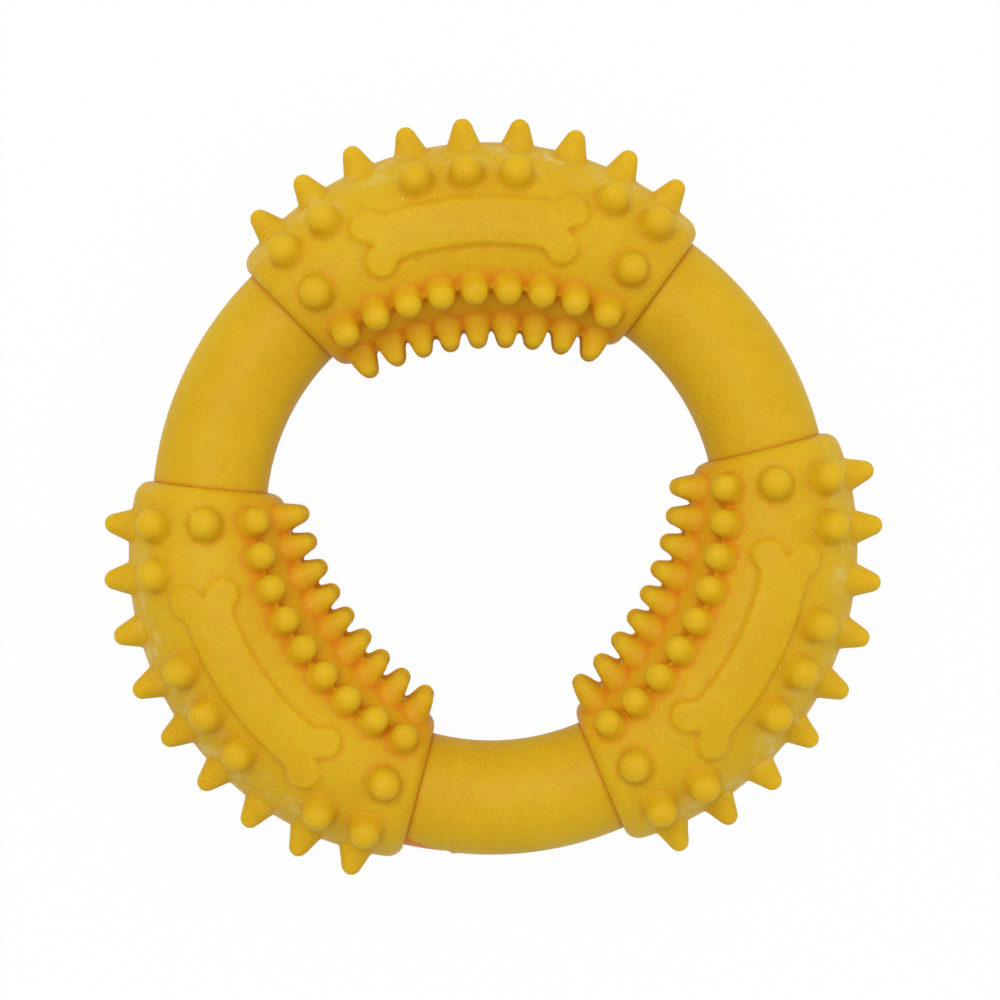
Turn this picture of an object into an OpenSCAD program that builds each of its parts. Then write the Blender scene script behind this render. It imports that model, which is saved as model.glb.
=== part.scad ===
// Rubber chew ring for a dog. A plain round ring is the core. Three thick barrel-shaped
// chew sleeves are moulded round it, studded all over with rounded cones, and each sleeve
// carries a raised bone on its front and its back.
// The ring lies flat. Z is the axis of the ring and z = 0 is the parting plane of the mould.

/* [Ring] */
// Radius of the ring, from its centre to the middle of its thickness
ring_r = 45; // [40:0.5:60]
// Thickness of the plain ring
ring_d = 18.2; // [15:0.2:20]

/* [Chew sleeves] */
// Thickness of a sleeve at its middle
sleeve_mid_d = 29.3; // [27:0.1:32]
// Thickness of a sleeve at its ends
sleeve_end_d = 23; // [22.6:0.2:26]
// Length of a sleeve, measured along the middle of the ring
sleeve_len = 63.6; // [58:0.2:70]
// Rounding of the rim at a sleeve's ends
shoulder_r = 1.9; // [1:0.1:2]
// Gap between the ring and the bore of a sleeve, filled by the bond between them
bond_gap = 0.05; // [0.02:0.01:0.15]

/* [Cones] */
// Number of cones in a full row along a sleeve
cones_per_row = 9; // [7:2:9]
// Distance from a sleeve's end to the first cone of a row, along the middle of the ring
cone_setback = 5.7; // [4.5:0.1:7]
// The same distance for the innermost row, whose cones stand closest together
inner_row_setback = 5; // [4.5:0.1:7]
// Height of a cone above the sleeve
cone_h = 4.2; // [3:0.1:5.5]
// Diameter of a cone where it leaves the sleeve
cone_base_d = 5.2; // [4:0.1:5.6]
// Radius of the rounded tip of a cone in the outermost and innermost rows
side_tip_r = 1.5; // [1:0.05:1.7]
// Radius of the rounded tip of a cone in the rows above them, which are blunter
face_tip_r = 1.9; // [1.5:0.05:2.1]
// Depth of a cone's root inside the sleeve
cone_root = 1; // [0.6:0.1:1.4]
// Angle of the outermost and innermost rows above the parting plane
side_row_angle = 15; // [12:1:20]
// Angle of the outer slanted row above the parting plane
outer_slant_angle = 56.5; // [52:0.5:60]
// Angle of the inner slanted row above the parting plane
inner_slant_angle = 55; // [52:0.5:60]
// Angle of the lone cones at the ends of the crest, from the outer side
crest_row_angle = 93; // [88:1:94]

/* [Bone] */
// Height of the raised bone above the sleeve
bone_h = 0.8; // [0.4:0.1:1.4]
// Distance of the bone from the middle of the ring, outwards
bone_offset = 1; // [0:0.1:1.5]
// Distance between the knobs at the two ends of the bone, along the middle of the ring
bone_len = 29.8; // [26:0.2:34]
// Distance between the two knobs of one end
bone_knob_gap = 5.8; // [5:0.1:6.4]
// Radius of a knob
bone_knob_r = 2.4; // [2:0.1:2.8]
// Width of the bone's shaft
bone_shaft_w = 7.1; // [6:0.1:8]
// Rounding of the inner corners between the shaft and the knobs
bone_fillet_r = 1; // [0.6:0.1:1.6]

/* [Hidden] */

// Steps of the sleeve's outline, along the barrel, round a shoulder and round the section
barrel_steps = 14;
shoulder_steps = 3;
section_sides = 32;
// Distance by which a cone's flank passes inside the ball of its tip
flank_ease = 0.015;

ring_tube_r = ring_d / 2;
bore_r = ring_tube_r + bond_gap;
mid_r = sleeve_mid_d / 2;
end_r = sleeve_end_d / 2;
half_angle = arc_angle(sleeve_len / 2);
shoulder_angle = arc_angle(shoulder_r);
row_half_angle = half_angle - arc_angle(cone_setback);
inner_row_half_angle = half_angle - arc_angle(inner_row_setback);
// Cones between the middle of a row and its end
row_reach = (cones_per_row - 1) / 2;
pitch_angle = row_half_angle / row_reach;
inner_pitch_angle = inner_row_half_angle / row_reach;
bone_half_angle = arc_angle(bone_len / 2);
bone_mid_r = ring_r + bone_offset;

// Places of the cones in a row, counted from its middle
full_row = [for (i = [-row_reach : row_reach]) i];
// The outer slanted row leaves out the cone beside each end of the bone
outer_slant_row = [for (i = full_row) if (abs(abs(i) * pitch_angle - bone_half_angle) > pitch_angle / 2) i];
crest_row = [-row_reach, row_reach];

// Angle at the ring's centre that a length along the middle of the ring takes
function arc_angle(length) = length / ring_r * 180 / PI;

// Radius of the barrel at an angle from the sleeve's middle, raised by an allowance
function barrel_r(a, raise = 0) = mid_r - (mid_r - end_r) * pow(a / half_angle, 2) + raise;

// How fast the barrel's radius changes with the angle, in millimetres a radian
function barrel_slope(a) = -2 * (mid_r - end_r) * a / pow(half_angle, 2) * 180 / PI;

// Stations along the sleeve, each an angle and a radius: a shoulder, the barrel, a shoulder
function shoulder_station(t) = [half_angle - shoulder_angle * (1 - cos(t)), shoulder_r * (1 - sin(t))];
function barrel_reach() = half_angle - shoulder_angle;
function stations(raise) = concat(
    [for (k = [0 : shoulder_steps - 1])
        let (s = shoulder_station(90 * k / shoulder_steps))
        [-s[0], barrel_r(s[0], raise) - s[1]]],
    [for (k = [0 : barrel_steps])
        let (a = barrel_reach() * (2 * k / barrel_steps - 1))
        [a, barrel_r(a, raise)]],
    [for (k = [shoulder_steps - 1 : -1 : 0])
        let (s = shoulder_station(90 * k / shoulder_steps))
        [s[0], barrel_r(s[0], raise) - s[1]]]
);

// A point of the section at an angle a along the ring, e round the section
function section_point(a, r, e) = let (reach = ring_r + r * cos(e))
    [reach * cos(a), reach * sin(a), r * sin(e)];

// Closed barrel bent along the ring, with rounded shoulders
module barrel(raise = 0) {
    rows = stations(raise);
    last = len(rows) - 1;
    n = section_sides;
    points = [for (s = rows) for (k = [0 : n - 1]) section_point(s[0], s[1], 360 * k / n)];
    walls = [for (i = [0 : last - 1]) for (k = [0 : n - 1])
        let (m = (k + 1) % n, p = i * n + k, q = i * n + m, u = p + n, v = q + n)
        each [[p, q, v], [p, v, u]]];
    caps = [[for (k = [n - 1 : -1 : 0]) k], [for (k = [0 : n - 1]) last * n + k]];
    polyhedron(points = points, faces = concat(caps, walls), convexity = 4);
}

// Outline of the bone seen from above, bent along the ring
module bone_outline() {
    offset(r = -bone_fillet_r, $fn = 32) offset(delta = bone_fillet_r, $fn = 32) {
        intersection() {
            difference() {
                circle(r = bone_mid_r + bone_shaft_w / 2, $fn = 180);
                circle(r = bone_mid_r - bone_shaft_w / 2, $fn = 180);
            }
            far = 2 * bone_mid_r;
            polygon([
                [0, 0],
                [far * cos(bone_half_angle), -far * sin(bone_half_angle)],
                [far * cos(bone_half_angle), far * sin(bone_half_angle)]
            ]);
        }
        for (end = [-1, 1]) for (side = [-1, 1])
            rotate(end * bone_half_angle)
                translate([bone_mid_r + side * bone_knob_gap / 2, 0])
                    circle(r = bone_knob_r, $fn = 32);
    }
}

// The raised bones of the front and the back in one block, which the barrel swallows inside
module bones() {
    intersection() {
        barrel(bone_h);
        linear_extrude(height = 2 * sleeve_mid_d, center = true) bone_outline();
    }
}

// Angle between a cone's flank and its axis, where the flank runs into the ball of the tip
function cone_flank_angle(tip_r) = let (rise = cone_h - tip_r, run = cone_base_d / 2)
    atan2(run, rise) - asin(tip_r / norm([run, rise]));

// One cone with its foot on z = 0 and its root below
module cone(tip_r) {
    flank = cone_flank_angle(tip_r);
    tip_z = cone_h - tip_r;
    translate([0, 0, -cone_root])
        cylinder(
            r1 = cone_base_d / 2 + cone_root * tan(flank),
            r2 = (tip_r - flank_ease) * cos(flank),
            h = cone_root + tip_z + tip_r * sin(flank),
            $fn = 24
        );
    translate([0, 0, tip_z]) sphere(r = tip_r, $fn = 24);
}

// One cone standing square on the barrel at an angle a along the ring, e round the section
module cone_at(a, e, tip_r) {
    r = barrel_r(a);
    lean = atan2(barrel_slope(a), ring_r + r * cos(e));
    rotate([0, 0, a]) translate([ring_r, 0, 0]) rotate([0, 90 - e, 0])
        translate([0, 0, r]) rotate([lean, 0, 0]) cone(tip_r);
}

// A row of cones on the front and its mirror image on the back
module cone_row(places, e, tip_r, pitch = pitch_angle) {
    for (i = places) for (face = [-1, 1]) cone_at(i * pitch, face * e, tip_r);
}

// A chew sleeve whose middle lies on the X axis
module sleeve() {
    difference() {
        union() {
            barrel();
            bones();
        }
        rotate_extrude($fn = 180) translate([ring_r, 0]) circle(r = bore_r, $fn = 48);
    }
    cone_row(full_row, side_row_angle, side_tip_r);
    cone_row(outer_slant_row, outer_slant_angle, face_tip_r);
    cone_row(crest_row, crest_row_angle, face_tip_r);
    cone_row(full_row, 180 - inner_slant_angle, face_tip_r);
    cone_row(full_row, 180 - side_row_angle, side_tip_r, inner_pitch_angle);
}

module core_ring() {
    color([0.86, 0.68, 0.14])
        rotate_extrude($fn = 180) translate([ring_r, 0]) circle(r = ring_tube_r, $fn = 48);
}

module top_sleeve() {
    color([0.86, 0.70, 0.16]) rotate(90) sleeve();
}

module left_sleeve() {
    color([0.84, 0.66, 0.14]) rotate(210) sleeve();
}

module right_sleeve() {
    color([0.82, 0.64, 0.13]) rotate(330) sleeve();
}

core_ring();
top_sleeve();
left_sleeve();
right_sleeve();
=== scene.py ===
import math
import random

import bmesh
import bpy
import numpy as np
from mathutils import Matrix, Vector


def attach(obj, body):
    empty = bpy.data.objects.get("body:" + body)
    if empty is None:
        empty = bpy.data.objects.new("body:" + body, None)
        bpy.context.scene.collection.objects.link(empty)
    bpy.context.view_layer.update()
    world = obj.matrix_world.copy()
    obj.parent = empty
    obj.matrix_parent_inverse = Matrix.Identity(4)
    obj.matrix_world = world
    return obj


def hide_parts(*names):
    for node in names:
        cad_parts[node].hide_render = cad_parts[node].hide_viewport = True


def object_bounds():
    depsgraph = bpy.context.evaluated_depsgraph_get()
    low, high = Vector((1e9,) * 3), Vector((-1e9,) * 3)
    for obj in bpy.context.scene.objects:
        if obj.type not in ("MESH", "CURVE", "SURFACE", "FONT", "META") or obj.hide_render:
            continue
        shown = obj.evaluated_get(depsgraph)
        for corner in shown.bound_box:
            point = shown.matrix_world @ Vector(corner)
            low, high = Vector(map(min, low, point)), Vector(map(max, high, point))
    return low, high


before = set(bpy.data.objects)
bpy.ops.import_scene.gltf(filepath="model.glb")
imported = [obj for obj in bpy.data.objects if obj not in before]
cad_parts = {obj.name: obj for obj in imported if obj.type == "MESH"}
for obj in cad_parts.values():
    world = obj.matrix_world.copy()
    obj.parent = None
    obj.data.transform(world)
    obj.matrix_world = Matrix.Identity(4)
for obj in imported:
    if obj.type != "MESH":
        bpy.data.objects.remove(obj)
cadLow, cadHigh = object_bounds()
mm = 0.001
print("frame loaded:", ", ".join(sorted(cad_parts)))


# camera, almost straight above the ring; place in millimetres, focal length in the picture's own units
shot = {
    "place": (-0.81, 10.67, 400.0), "turn": (0.0203, 0.0061, 0.0737),
    "focal": 2502.4, "picture": 1000.0, "sensor": 36.0, "nearest": 0.01, "farthest": 10.0,
}

cameraData = bpy.data.cameras.new("camera")
cameraData.sensor_width = shot["sensor"]
cameraData.lens = shot["focal"] * shot["sensor"] / shot["picture"]
cameraData.clip_start = shot["nearest"]
cameraData.clip_end = shot["farthest"]
camera = bpy.data.objects.new("camera", cameraData)
bpy.context.scene.collection.objects.link(camera)
tiltX, tiltY, roll = shot["turn"]
intoCamera = Matrix.Rotation(roll, 3, "Z") @ Matrix.Rotation(tiltY, 3, "Y") @ Matrix.Rotation(tiltX, 3, "X")
camera.matrix_world = Matrix.Translation(Vector(shot["place"]) * mm) @ intoCamera.transposed().to_4x4()
bpy.context.scene.camera = camera


# a node's output that can be used in sums
class Wire:
    def __init__(self, socket):
        self.socket = socket

    def maths(self, operation, a, b):
        made = addNode(self.socket.id_data, "ShaderNodeMath", {"operation": operation}, {0: a, 1: b})
        return Wire(made.outputs[0])

    def __add__(self, other):
        return self.maths("ADD", self, other)

    def __sub__(self, other):
        return self.maths("SUBTRACT", self, other)

    def __rsub__(self, other):
        return self.maths("SUBTRACT", other, self)

    def __mul__(self, other):
        return self.maths("MULTIPLY", self, other)

    __radd__ = __add__
    __rmul__ = __mul__


# any node, with its settings first and then the values or links of its sockets
def addNode(tree, kind, settings=None, sockets=None):
    made = tree.nodes.new(kind)
    for name, value in (settings or {}).items():
        setattr(made, name, value)
    for name, value in (sockets or {}).items():
        if isinstance(value, Wire):
            tree.links.new(value.socket, made.inputs[name])
        else:
            made.inputs[name].default_value = value
    return made


# an empty material and its node tree
def newTree(name):
    material = bpy.data.materials.new(name)
    material.use_nodes = True
    material.node_tree.nodes.clear()
    return material, material.node_tree


def noise(tree, place, scale, detail=2.0, roughness=0.5):
    made = addNode(tree, "ShaderNodeTexNoise", {},
                   {"Vector": place, "Scale": scale, "Detail": detail, "Roughness": roughness})
    return Wire(made.outputs["Fac"])


# 0 up to low, 1 from high on, and a soft step between them
def ease(tree, value, low, high):
    made = addNode(tree, "ShaderNodeMapRange", {"interpolation_type": "SMOOTHSTEP"},
                   {"Value": value, "From Min": low, "From Max": high})
    return Wire(made.outputs["Result"])


# sockets 6 and 7 and output 2 are the Mix node's colours
def blendColour(tree, factor, first, second):
    made = addNode(tree, "ShaderNodeMix", {"data_type": "RGBA"}, {"Factor": factor, 6: first, 7: second})
    return Wire(made.outputs[2])


# a layer that a piece carries on its own vertices
def painted(tree, name):
    return Wire(addNode(tree, "ShaderNodeAttribute", {"attribute_name": name}).outputs["Fac"])


# small dots, one in each of the few cells of a pattern that hold one
def dots(tree, place, kind):
    cells = addNode(tree, "ShaderNodeTexVoronoi", {"feature": "F1"}, {"Vector": place, "Scale": kind["scale"]})
    chance = addNode(tree, "ShaderNodeSeparateColor", {}, {0: Wire(cells.outputs["Color"])})
    dot = 1 - ease(tree, Wire(cells.outputs["Distance"]), kind["size"] * 0.5, kind["size"])
    chosen = ease(tree, Wire(chance.outputs[0]), 1.0 - kind["share"], 1.0 - kind["share"] * 0.8)
    return dot * chosen * kind["part"]


rubber = {
    "body": (0.695, 0.448, 0.010, 1.0),
    "deep": (0.650, 0.385, 0.008, 1.0),
    # the pale colour is both a pale grain tone and the painted highlight on the cone tips
    "paleGrainAndHighlight": (0.760, 0.530, 0.015, 1.0),
    # the warm colour is both a grain tone and the painted shade between crowded cones and on the inner wall
    "warmGrainAndShade": (0.820, 0.260, 0.005, 1.0),
    # the crevice colour is painted shade for inner corners and for the flash
    "creviceShade": (0.740, 0.145, 0.003, 1.0),
    # the seam colour is painted shade where a sleeve meets the ring
    "shadedSeam": (0.680, 0.205, 0.004, 1.0),
    # the chalk colour is pale dust together with a painted sheen
    "paleDustAndSheen": (0.800, 0.690, 0.300, 1.0),
    "speck": (0.330, 0.150, 0.010, 1.0),
    # the sparkle colour is a painted glint
    "paintedGlint": (0.950, 0.820, 0.360, 1.0),
    # scales of the patterns, and the value at which each starts and is full
    "patches": 55.0, "clouds": 420.0, "grain": 3200.0, "dimples": 900.0, "dustAndSheenPatches": 260.0,
    "cloudShare": 0.4, "patchEdge": (0.35, 0.65), "paleEdge": (0.48, 0.68), "warmEdge": (0.32, 0.50),
    "tipHighlightEdge": (0.45, 1.0), "dustAndSheenEdge": (0.48, 0.72),
    # how far each colour hides what lies under it
    "palePart": 0.65, "warmPart": 0.30, "tipHighlightPart": 0.25, "crowdShadePart": 0.58, "dustAndSheenPart": 0.50, "seamShadePart": 0.75,
    "creaseShadePart": 0.34, "crowdedCreaseShadePart": 0.36,
    "specks": {"scale": 420.0, "size": 0.07, "share": 0.06, "part": 0.5},
    "paintedGlints": {"scale": 700.0, "size": 0.10, "share": 0.10, "part": 0.8}, "glintStretch": (1.0, 0.4, 1.0),
    # surface
    "roughness": 0.38, "grainRoughness": 0.14, "cloudRoughness": 0.10, "ior": 1.5, "gloss": 0.14,
    "subsurface": 0.6, "subsurfaceDepth": 2.0 * mm, "subsurfaceColours": (1.0, 0.35, 0.04),
    "grainDepth": 0.065 * mm, "ringDepth": 0.0455 * mm, "partingLine": 0.16 * mm,
    "grainRelief": 0.7, "dimpleRelief": 0.6, "partingRelief": 3.0,
}


# moulded rubber also takes the studs' painted layers: a painted highlight on the cone tips, painted shade between
# crowded cones, in corners and at the seams, pale dust and painted sheen on the outer side; the plain ring is smoother
def rubberMaterial(name, grainDepth, moulded):
    material, tree = newTree(name)
    place = Wire(addNode(tree, "ShaderNodeTexCoord").outputs["Object"])
    height = Wire(addNode(tree, "ShaderNodeSeparateXYZ", {}, {0: place}).outputs["Z"])
    patches = noise(tree, place, rubber["patches"], 3.0)
    clouds = noise(tree, place, rubber["clouds"], 3.0, 0.6)
    grain = noise(tree, place, rubber["grain"], 2.0, 0.6)
    cloudy = patches * (1 - rubber["cloudShare"]) + clouds * rubber["cloudShare"]
    paleGrain = ease(tree, grain, *rubber["paleEdge"]) * rubber["palePart"]
    warmGrain = (1 - ease(tree, grain, *rubber["warmEdge"])) * rubber["warmPart"]
    colour = blendColour(tree, ease(tree, cloudy, *rubber["patchEdge"]), rubber["deep"], rubber["body"])
    colour = blendColour(tree, paleGrain, colour, rubber["paleGrainAndHighlight"])
    colour = blendColour(tree, warmGrain, colour, rubber["warmGrainAndShade"])
    creaseShade = painted(tree, "creaseShade")
    if moulded:
        # painted shade: the rubber turns warm orange low between crowded cones and on the inner wall
        crowdShade = painted(tree, "crowdShade")
        # painted highlight: the cone tips are made paler, as if the light fell on them
        tipHighlight = ease(tree, painted(tree, "lift"), *rubber["tipHighlightEdge"])
        # pale dust and painted sheen, in patches on the sleeves' outer side
        marks = ease(tree, noise(tree, place, rubber["dustAndSheenPatches"], 4.0, 0.7), *rubber["dustAndSheenEdge"])
        colour = blendColour(tree, tipHighlight * rubber["tipHighlightPart"], colour, rubber["paleGrainAndHighlight"])
        colour = blendColour(tree, crowdShade * rubber["crowdShadePart"], colour, rubber["warmGrainAndShade"])
        colour = blendColour(tree, painted(tree, "outside") * marks * rubber["dustAndSheenPart"], colour, rubber["paleDustAndSheen"])
        # painted shade in inner corners, stronger between crowded cones
        creaseShade = creaseShade * (rubber["creaseShadePart"] + crowdShade * rubber["crowdedCreaseShadePart"])
    colour = blendColour(tree, creaseShade, colour, rubber["creviceShade"])
    # painted shade where a sleeve meets the ring
    colour = blendColour(tree, painted(tree, "shadedSeam") * rubber["seamShadePart"], colour, rubber["shadedSeam"])
    colour = blendColour(tree, dots(tree, place, rubber["specks"]), colour, rubber["speck"])
    # painted glints: small pale dots, stretched short along one way
    stretched = addNode(tree, "ShaderNodeVectorMath", {"operation": "MULTIPLY"},
                        {0: place, 1: rubber["glintStretch"]})
    colour = blendColour(tree, dots(tree, Wire(stretched.outputs[0]), rubber["paintedGlints"]), colour, rubber["paintedGlint"])
    parting = 1 - ease(tree, height * height, 0.0, rubber["partingLine"] ** 2)
    roughness = grain * rubber["grainRoughness"] + clouds * rubber["cloudRoughness"] + rubber["roughness"]
    dimples = noise(tree, place, rubber["dimples"])
    relief = (grain * rubber["grainRelief"] + dimples * rubber["dimpleRelief"]
              + parting * rubber["partingRelief"])
    bump = addNode(tree, "ShaderNodeBump", {}, {"Height": relief, "Strength": 1.0, "Distance": grainDepth})
    shader = addNode(tree, "ShaderNodeBsdfPrincipled", {}, {
        "Base Color": colour, "Roughness": roughness, "Normal": Wire(bump.outputs[0]),
        "IOR": rubber["ior"], "Specular IOR Level": rubber["gloss"], "Subsurface Weight": rubber["subsurface"],
        "Subsurface Scale": rubber["subsurfaceDepth"], "Subsurface Radius": rubber["subsurfaceColours"]})
    output = addNode(tree, "ShaderNodeOutputMaterial")
    tree.links.new(shader.outputs[0], output.inputs[0])
    return material


ringRubber = rubberMaterial("ringRubber", rubber["ringDepth"], False)
sleeveRubber = rubberMaterial("sleeveRubber", rubber["grainDepth"], True)
for nodeName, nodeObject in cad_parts.items():
    nodeObject.data.materials.clear()
    nodeObject.data.materials.append(ringRubber if nodeName == "core_ring" else sleeveRubber)
print("materials made")


def meshFrom(name, bm):
    mesh = bpy.data.meshes.new(name)
    bm.to_mesh(mesh)
    bm.free()
    return mesh


def addObject(name, mesh):
    made = bpy.data.objects.new(name, mesh)
    bpy.context.scene.collection.objects.link(made)
    return made


# a finished piece in its material, smooth all over
def shown(name, bm, material):
    mesh = meshFrom(name, bm)
    mesh.materials.append(material)
    for face in mesh.polygons:
        face.use_smooth = True
    return addObject(name, mesh)


# sizes of the ring, of its chew sleeves and of the cones and bones on them
ring = {"radius": 45.0 * mm, "thickness": 18.2 * mm, "sides": 96, "steps": 960, "creaseWidth": 0.4 * mm}
sleeve = {
    "length": 63.6 * mm, "middle": 29.3 * mm, "end": 23.0 * mm, "shoulder": 1.9 * mm,
    "gap": 0.015 * mm, "boreSides": 72, "boreSteps": 216,
    "sides": 240, "stations": 168, "shoulderSteps": 8, "voxel": 0.365 * mm, "smoothing": 0.5,
    "centres": {"top_sleeve": 90.0, "left_sleeve": 210.3, "right_sleeve": 329.4},
}
cone = {
    "perRow": 9, "setback": 5.7 * mm, "innerSetback": 5.0 * mm,
    "height": 4.25 * mm, "root": 1.3 * mm, "sides": 32, "tipSteps": 8, "lean": 1.6, "stretch": 0.02,
    "foot": {"side": 2.70 * mm, "inner": 2.42 * mm, "face": 2.72 * mm, "close": 2.50 * mm},
    "tip": {"side": 1.60 * mm, "inner": 1.54 * mm, "face": 2.45 * mm, "close": 2.15 * mm},
}
bone = {
    "height": 0.8 * mm, "offset": 1.0 * mm, "length": 29.8 * mm, "knobGap": 5.8 * mm, "knob": 2.4 * mm,
    "shaft": 7.1 * mm, "fillet": 1.0 * mm, "edge": 0.45 * mm,
}

halfAngle = sleeve["length"] / 2 / ring["radius"]
reach = (cone["perRow"] - 1) // 2
pitch = (halfAngle - cone["setback"] / ring["radius"]) / reach
innerPitch = (halfAngle - cone["innerSetback"] / ring["radius"]) / reach
boneRadius = ring["radius"] + bone["offset"]
boneAngle = bone["length"] / 2 / ring["radius"]
full = list(range(-reach, reach + 1))
besideBone = [k for k in full if abs(abs(k) * pitch - boneAngle) > pitch / 2]
# each row's foot and axis, as angles round the barrel's section from the outer side
coneRows = [
    {"kind": "side", "places": full, "pitch": pitch, "foot": 19.5, "axis": 9.0},
    {"kind": "face", "places": besideBone, "pitch": pitch, "foot": 56.0, "axis": 65.0},
    {"kind": "face", "places": [-reach, reach], "pitch": pitch, "foot": 93.0, "axis": 92.0},
    {"kind": "close", "places": full, "pitch": pitch, "foot": 127.0, "axis": 118.0},
    {"kind": "inner", "places": full, "pitch": innerPitch, "foot": 160.0, "axis": 171.0},
]
seams = [math.radians(centre) + side * halfAngle for centre in sleeve["centres"].values() for side in (-1, 1)]
uprightSection = Matrix.Rotation(math.radians(90), 4, "X")


# spins an outline or a circle right round the Z axis and closes it
def spinRound(bm, geometry, steps):
    bmesh.ops.spin(bm, geom=geometry, cent=(0, 0, 0), axis=(0, 0, 1), angle=2 * math.pi,
                   steps=steps, use_merge=True)
    bmesh.ops.remove_doubles(bm, verts=bm.verts, dist=0.001 * mm)
    bmesh.ops.recalc_face_normals(bm, faces=bm.faces)


def ringShape(thickness, sides, steps):
    bm = bmesh.new()
    section = bmesh.ops.create_circle(bm, segments=sides, radius=thickness / 2)["verts"]
    bmesh.ops.transform(bm, matrix=uprightSection, verts=section)
    bmesh.ops.translate(bm, verts=section, vec=(ring["radius"], 0, 0))
    spinRound(bm, bm.verts[:] + bm.edges[:], steps)
    return bm


# trimmed flash that the mould left on the ring beside one sleeve; its start and length are in degrees,
# and its span, ear length and ends are shares of its length
flash = {
    "start": 250.4, "length": 8.8, "width": 1.9 * mm, "proud": 0.20 * mm, "creaseShade": 0.65, "span": (-0.1, 1.2),
    "ear": 0.30 * mm, "earLength": 0.05, "earCreaseShade": 0.5,
}

bm = ringShape(ring["thickness"], ring["sides"], ring["steps"])
creaseShadeLayer = bm.verts.layers.float.new("creaseShade")
seamShadeLayer = bm.verts.layers.float.new("shadedSeam")
for vert in bm.verts:
    angle = math.atan2(vert.co.y, vert.co.x)
    far = math.hypot(vert.co.x, vert.co.y)
    beside = min(abs(math.remainder(angle - shadedSeam, 2 * math.pi)) for shadedSeam in seams)
    # painted shade on the ring beside each sleeve's end
    vert[seamShadeLayer] = math.exp(-(beside * ring["radius"] / ring["creaseWidth"]) ** 2)
    along = (math.degrees(angle) % 360 - flash["start"]) / flash["length"]
    inset = ring["radius"] + ring["thickness"] / 2 - far
    if flash["span"][0] < along < flash["span"][1] and inset < flash["width"]:
        width = flash["width"] * (1 - along)
        ear = math.exp(-((along - 1) / flash["earLength"]) ** 2)
        share = 1 - inset / flash["width"]
        push = flash["proud"] * max(1 - 2 * along, -1) * share if along < 1 else 0
        # painted shade on the flash and its ear
        vert[creaseShadeLayer] = flash["creaseShade"] if inset < width else flash["earCreaseShade"] * ear * share
        vert.co *= 1 + (push + flash["ear"] * ear * share) / far
plainRing = shown("plain_ring", bm, ringRubber)
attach(plainRing, "root")
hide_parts("core_ring")
print("ring made")


# chew sleeves, each a barrel bent along the ring with cones and a raised bone on both faces
def barrelRadius(angle):
    return sleeve["middle"] / 2 - (sleeve["middle"] - sleeve["end"]) / 2 * (angle / halfAngle) ** 2


# stands a circle of radius 1 on the ring, at an angle from the sleeve's middle
def sectionPlace(angle, radius):
    return (Matrix.Rotation(angle, 4, "Z") @ Matrix.Translation((ring["radius"], 0, 0))
            @ uprightSection @ Matrix.Scale(radius, 4))


# angle and radius of each section from end to end: a rounded shoulder, the barrel, a rounded shoulder
def barrelStations():
    shoulderAngle = sleeve["shoulder"] / ring["radius"]
    flat = halfAngle - shoulderAngle
    rounded = []
    for step in range(sleeve["shoulderSteps"]):
        t = math.pi / 2 * step / sleeve["shoulderSteps"]
        angle = halfAngle - shoulderAngle * (1 - math.cos(t))
        rounded.append((angle, barrelRadius(angle) - sleeve["shoulder"] * (1 - math.sin(t))))
    middle = [flat * (2 * k / sleeve["stations"] - 1) for k in range(sleeve["stations"] + 1)]
    return [(-a, r) for a, r in rounded] + [(a, barrelRadius(a)) for a in middle] + rounded[::-1]


# height of the raised bone over the barrel, from the outline's signed distance
def boneLift(along, across):
    along, across = abs(along), abs(across)
    outX, outY = along - boneAngle * boneRadius, across - bone["shaft"] / 2
    shaft = math.hypot(max(outX, 0), max(outY, 0)) + min(max(outX, outY), 0)
    knob = math.hypot(outX, across - bone["knobGap"] / 2) - bone["knob"]
    share = max(bone["fillet"] - abs(shaft - knob), 0) / bone["fillet"]
    distance = min(shaft, knob) - share * share * bone["fillet"] / 4
    t = min(max(0.5 - distance / bone["edge"], 0), 1)
    return bone["height"] * t * t * (3 - 2 * t)


# the barrel, drawn out section by section and capped, with its bones raised
def bentBarrel():
    bm = bmesh.new()
    stations = barrelStations()
    loop = bmesh.ops.create_circle(bm, segments=sleeve["sides"], radius=1)["verts"]
    placed = sectionPlace(*stations[0])
    bmesh.ops.transform(bm, matrix=placed, verts=loop)
    edges = bm.edges[:]
    firstLoop = edges[:]
    for station in stations[1:]:
        made = bmesh.ops.extrude_edge_only(bm, edges=edges)["geom"]
        loop = [g for g in made if isinstance(g, bmesh.types.BMVert)]
        edges = [g for g in made if isinstance(g, bmesh.types.BMEdge)]
        wanted = sectionPlace(*station)
        bmesh.ops.transform(bm, matrix=wanted @ placed.inverted(), verts=loop)
        placed = wanted
    bmesh.ops.contextual_create(bm, geom=firstLoop)
    bmesh.ops.contextual_create(bm, geom=edges)
    for vert in bm.verts:
        far = math.hypot(vert.co.x, vert.co.y)
        up = boneLift(math.atan2(vert.co.y, vert.co.x) * boneRadius, far - boneRadius)
        if up > 0 and abs(vert.co.z) > ring["thickness"] / 2:
            inward = Vector((vert.co.x, vert.co.y, 0)) * (ring["radius"] / far)
            outward = vert.co - inward
            vert.co = inward + outward * (1 + up / outward.length)
    bmesh.ops.recalc_face_normals(bm, faces=bm.faces)
    return bm


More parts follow.
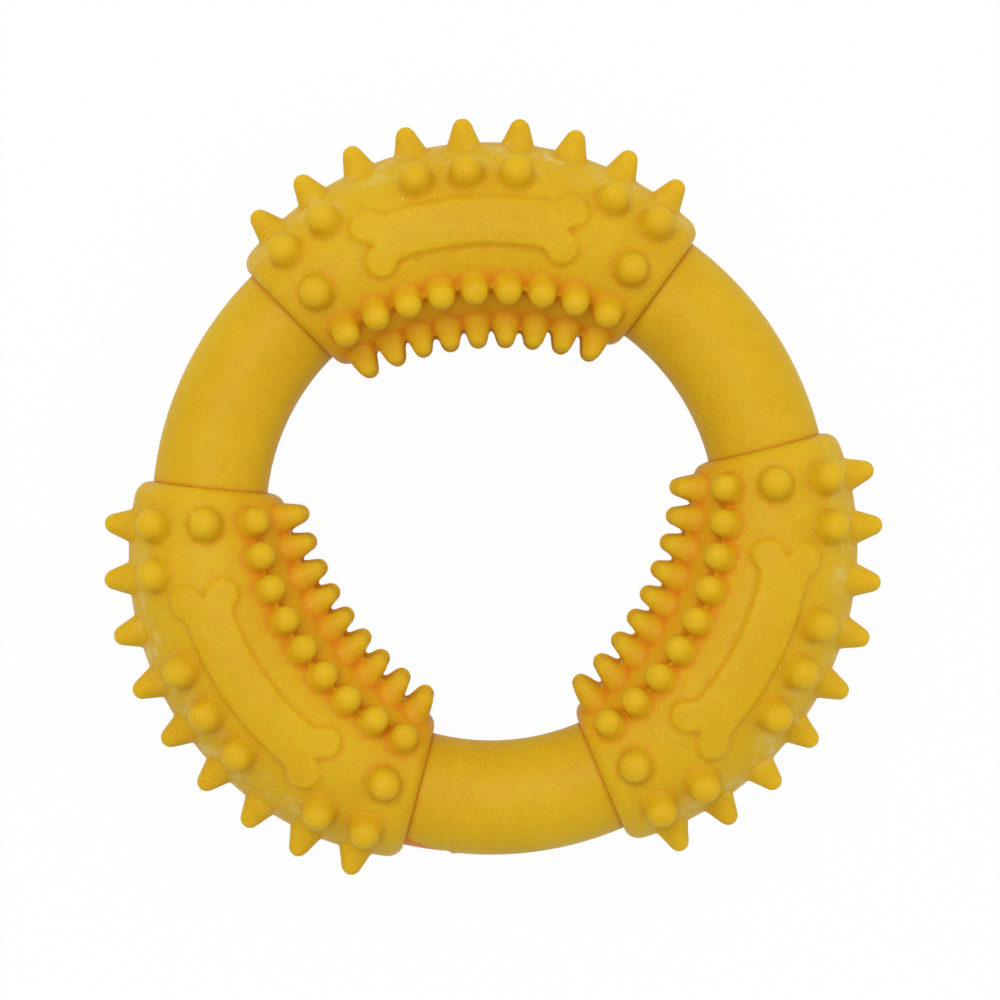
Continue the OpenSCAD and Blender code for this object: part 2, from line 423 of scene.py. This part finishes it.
# one cone on z = 0, its outline spun round its axis
def coneShape(kind):
    tip = cone["tip"][kind]
    rise, run = cone["height"] - tip, cone["foot"][kind]
    flank = math.atan2(run, rise) - math.asin(tip / math.hypot(run, rise))
    bm = bmesh.new()
    outline = [(0, -cone["root"]), (run + cone["root"] * math.tan(flank), -cone["root"])]
    for k in range(cone["tipSteps"] + 1):
        t = flank + (math.pi / 2 - flank) * k / cone["tipSteps"]
        outline.append((tip * math.cos(t) if k < cone["tipSteps"] else 0, rise + tip * math.sin(t)))
    verts = [bm.verts.new((x, 0, z)) for x, z in outline]
    edges = [bm.edges.new(pair) for pair in zip(verts, verts[1:])]
    spinRound(bm, verts + edges, cone["sides"])
    return meshFrom("coneShape", bm)


# puts a cone on the barrel, a little crooked and a little longer or shorter than the others
def coneMatrix(angle, foot, axis, rng):
    radius = barrelRadius(angle)
    slope = -(sleeve["middle"] - sleeve["end"]) * angle / halfAngle ** 2
    lean = math.atan2(slope, ring["radius"] + radius * math.cos(foot))
    wobble = [math.radians(rng.uniform(-cone["lean"], cone["lean"])) for turn in range(2)]
    stretch = 1 + rng.uniform(-cone["stretch"], cone["stretch"] * 0.5)
    return (Matrix.Rotation(angle, 4, "Z") @ Matrix.Translation((ring["radius"], 0, 0))
            @ Matrix.Rotation(math.pi / 2 - foot, 4, "Y") @ Matrix.Translation((0, 0, radius))
            @ Matrix.Rotation(lean + wobble[0], 4, "X") @ Matrix.Rotation(foot - axis + wobble[1], 4, "Y")
            @ Matrix.Scale(stretch, 4, (0, 0, 1)))


# a barrel with all its cones pushed into it, and the places of their feet
def studdedBarrel(rng):
    bm = bentBarrel()
    feet = []
    for row in coneRows:
        for place, side in ((k, side) for k in row["places"] for side in (1, -1)):
            before = len(bm.verts)
            bm.from_mesh(coneMeshes[row["kind"]])
            bm.verts.ensure_lookup_table()
            foot, axis = side * math.radians(row["foot"]), side * math.radians(row["axis"])
            standing = coneMatrix(place * row["pitch"], foot, axis, rng)
            bmesh.ops.transform(bm, matrix=standing, verts=bm.verts[before:])
            feet.append(standing @ Vector((0, 0, cone["height"] / 4)))
    return meshFrom("sleeveBlank", bm), feet


# the mesh that a modifier makes of another
def evaluated(mesh, kind, settings):
    holder = addObject("holder", mesh)
    modifier = holder.modifiers.new("change", kind)
    for name, value in settings.items():
        setattr(modifier, name, value)
    done = bpy.data.meshes.new_from_object(holder.evaluated_get(bpy.context.evaluated_depsgraph_get()))
    bpy.data.objects.remove(holder)
    return done


# melts barrel and cones into one skin and cuts the bore
def mouldedSkin(mesh):
    mesh = evaluated(mesh, "REMESH", {"mode": "VOXEL", "voxel_size": sleeve["voxel"], "adaptivity": 0.0})
    bm = bmesh.new()
    bm.from_mesh(mesh)
    bmesh.ops.smooth_vert(bm, verts=bm.verts, factor=sleeve["smoothing"],
                          use_axis_x=True, use_axis_y=True, use_axis_z=True)
    return evaluated(meshFrom("sleeveSkin", bm), "BOOLEAN",
                     {"operation": "DIFFERENCE", "object": cutter, "solver": "MANIFOLD"})


# average of each vertex's neighbours
def neighbourMean(edges, values):
    total, count = np.zeros_like(values), np.bincount(edges.ravel(), minlength=len(values))
    for one, other in ((0, 1), (1, 0)):
        for axis in range(values.shape[1]):
            total[:, axis] += np.bincount(edges[:, one], values[edges[:, other], axis], len(values))
    return total / count[:, None]


def readMesh(items, name, kind, width):
    values = np.empty(len(items) * width, kind)
    items.foreach_get(name, values)
    return values.reshape(-1, width)


def paint(mesh, name, values):
    mesh.attributes.new(name, "FLOAT", "POINT").data.foreach_set("value", values.astype(np.float32).ravel())


# 0 up to a start, 1 a span further on
def fade(values, start, span):
    return np.clip((values - start) / span, 0, 1)


# where the painted layers start and how far they spread: painted shade between crowded cones and on the inner wall,
# painted shade in creases and at the seams, pale dust and painted sheen on the outer side
layers = {
    "crowdStart": 4.4 * mm, "crowdSpan": 2.4 * mm, "crowdTop": 0.75,
    "innerShadeStart": 3.6 * mm, "innerShadeSpan": 9.0 * mm, "innerShadePart": 0.6,
    "outsideStart": 7.0 * mm, "outsideSpan": 5.0 * mm, "outsideTop": 0.3,
    "hollowDepth": 0.041 * mm, "hollowSpread": 2, "creaseFull": 1 / 1.5,
    "creaseMiddle": 0.8, "creaseLeast": 0.6, "creaseFade": 12.0 * mm,
    "seamStart": 0.12 * mm, "seamSpan": 0.6 * mm,
}


# lift is 0 on the barrel and 1 at a cone's tip; the painted shade between crowded cones is 1 low between them and
# on the inner wall; the painted crease shade is 1 in inner corners; outside is 1 on the sleeve's outer side, where
# pale dust and painted sheen go; the painted seam shade is 1 where a sleeve meets the ring
def paintSleeve(mesh, feet):
    spots = readMesh(mesh.vertices, "co", np.float64, 3)
    normals = readMesh(mesh.vertices, "normal", np.float64, 3)
    edges = readMesh(mesh.edges, "vertices", np.int32, 2)
    far = np.hypot(spots[:, 0], spots[:, 1])
    across = np.hypot(far - ring["radius"], spots[:, 2])
    barrel = barrelRadius(np.arctan2(spots[:, 1], spots[:, 0]))
    lift = fade(across - barrel, 0, cone["height"])
    # distances to the two nearest feet, which start a metre away
    near = np.full((len(spots), 2), 1.0)
    for foot in feet:
        near[:, 1] = np.minimum(near[:, 1], np.linalg.norm(spots - np.array(foot), axis=1))
        near.sort(axis=1)
    # painted shade on the inner wall, joined with the painted shade low between crowded cones
    inner = fade(ring["radius"] - far, layers["innerShadeStart"], layers["innerShadeSpan"]) * layers["innerShadePart"]
    crowdShade = np.maximum(1 - fade(near.sum(axis=1), layers["crowdStart"], layers["crowdSpan"]), inner)
    # the outer side, where pale dust and painted sheen are put
    outside = fade(far - ring["radius"], layers["outsideStart"], layers["outsideSpan"])
    hollow = ((neighbourMean(edges, spots) - spots) * normals).sum(axis=1, keepdims=True)
    hollow = fade(hollow, 0, layers["hollowDepth"])
    for turn in range(layers["hollowSpread"]):
        hollow = (hollow + neighbourMean(edges, hollow)) / 2
    # painted shade in the inner corners, stronger towards the ring's inner side
    shade = layers["creaseMiddle"] - (far - boneRadius) / layers["creaseFade"]
    creaseShade = fade(hollow[:, 0], 0, layers["creaseFull"]) * np.clip(shade, layers["creaseLeast"], 1)
    paint(mesh, "lift", lift)
    paint(mesh, "crowdShade", crowdShade * (1 - fade(lift, 0, layers["crowdTop"])))
    paint(mesh, "outside", outside * (1 - fade(lift, 0, layers["outsideTop"])))
    paint(mesh, "creaseShade", creaseShade)
    # painted shade at the sleeve's end, where it meets the ring
    paint(mesh, "shadedSeam", 1 - fade(across - ring["thickness"] / 2, layers["seamStart"], layers["seamSpan"]))


coneMeshes = {kind: coneShape(kind) for kind in cone["foot"]}
bore = ringShape(ring["thickness"] + 2 * sleeve["gap"], sleeve["boreSides"], sleeve["boreSteps"])
cutter = addObject("boreCutter", meshFrom("boreCutter", bore))
for sleeveName, centre in sleeve["centres"].items():
    blank, feet = studdedBarrel(random.Random(centre))
    skin = mouldedSkin(blank)
    paintSleeve(skin, feet)
    bm = bmesh.new()
    bm.from_mesh(skin)
    bmesh.ops.rotate(bm, verts=bm.verts, cent=(0, 0, 0), matrix=Matrix.Rotation(math.radians(centre), 3, "Z"))
    studded = shown(sleeveName + "_rubber", bm, sleeveRubber)
    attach(studded, "root")
    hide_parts(sleeveName)
    print(sleeveName, "made,", len(studded.data.polygons), "faces")
bpy.data.objects.remove(cutter)


# floor, sky and lamps, in metres and watts
studio = {
    "floorSize": 1.6, "floorGap": 0.05 * mm, "floorColour": (0.80, 0.80, 0.80, 1.0), "floorWhite": 0.97,
    "white": (1.0, 1.0, 1.0, 1.0), "sky": 0.56,
    "lamps": {
        "key": {"power": 3.75, "place": (-0.12, 0.25, 0.84), "size": 0.45},
        "fill": {"power": 0.9, "place": (0.75, 0.05, 0.42), "size": 0.6},
    },
}

floorMaterial, tree = newTree("floorWhite")
lightPath = addNode(tree, "ShaderNodeLightPath")
plain = addNode(tree, "ShaderNodeBsdfDiffuse", {}, {"Color": studio["floorColour"]})
glow = addNode(tree, "ShaderNodeEmission", {}, {"Color": studio["white"], "Strength": 1.0})
mixed = addNode(tree, "ShaderNodeMixShader", {}, {
    "Fac": (Wire(lightPath.outputs["Is Camera Ray"]) + Wire(lightPath.outputs["Is Glossy Ray"])) * studio["floorWhite"],
    1: Wire(plain.outputs[0]), 2: Wire(glow.outputs[0])})
tree.links.new(mixed.outputs[0], addNode(tree, "ShaderNodeOutputMaterial").inputs[0])
bm = bmesh.new()
bmesh.ops.create_grid(bm, x_segments=2, y_segments=2, size=studio["floorSize"] / 2)
bmesh.ops.translate(bm, verts=bm.verts, vec=(0, 0, cadLow.z - studio["floorGap"]))
floor = shown("floor", bm, floorMaterial)

world = bpy.data.worlds.new("studio")
world.use_nodes = True
tree = world.node_tree
tree.nodes.clear()
lightPath = addNode(tree, "ShaderNodeLightPath")
soft = addNode(tree, "ShaderNodeBackground", {}, {"Color": studio["white"], "Strength": studio["sky"]})
white = addNode(tree, "ShaderNodeBackground", {}, {"Color": studio["white"], "Strength": 1.0})
mixed = addNode(tree, "ShaderNodeMixShader", {}, {
    "Fac": Wire(lightPath.outputs["Is Camera Ray"]), 1: Wire(soft.outputs[0]), 2: Wire(white.outputs[0])})
tree.links.new(mixed.outputs[0], addNode(tree, "ShaderNodeOutputWorld").inputs[0])
bpy.context.scene.world = world

for name, setting in studio["lamps"].items():
    lampData = bpy.data.lights.new(name, "AREA")
    lampData.energy = setting["power"]
    lampData.size = setting["size"]
    lamp = addObject(name, lampData)
    lamp.location = setting["place"]
    lamp.rotation_euler = (-Vector(setting["place"])).to_track_quat("-Z", "Y").to_euler()
bpy.context.scene.view_settings.view_transform = "Standard"
print("stage made")

bpy.context.view_layer.update()
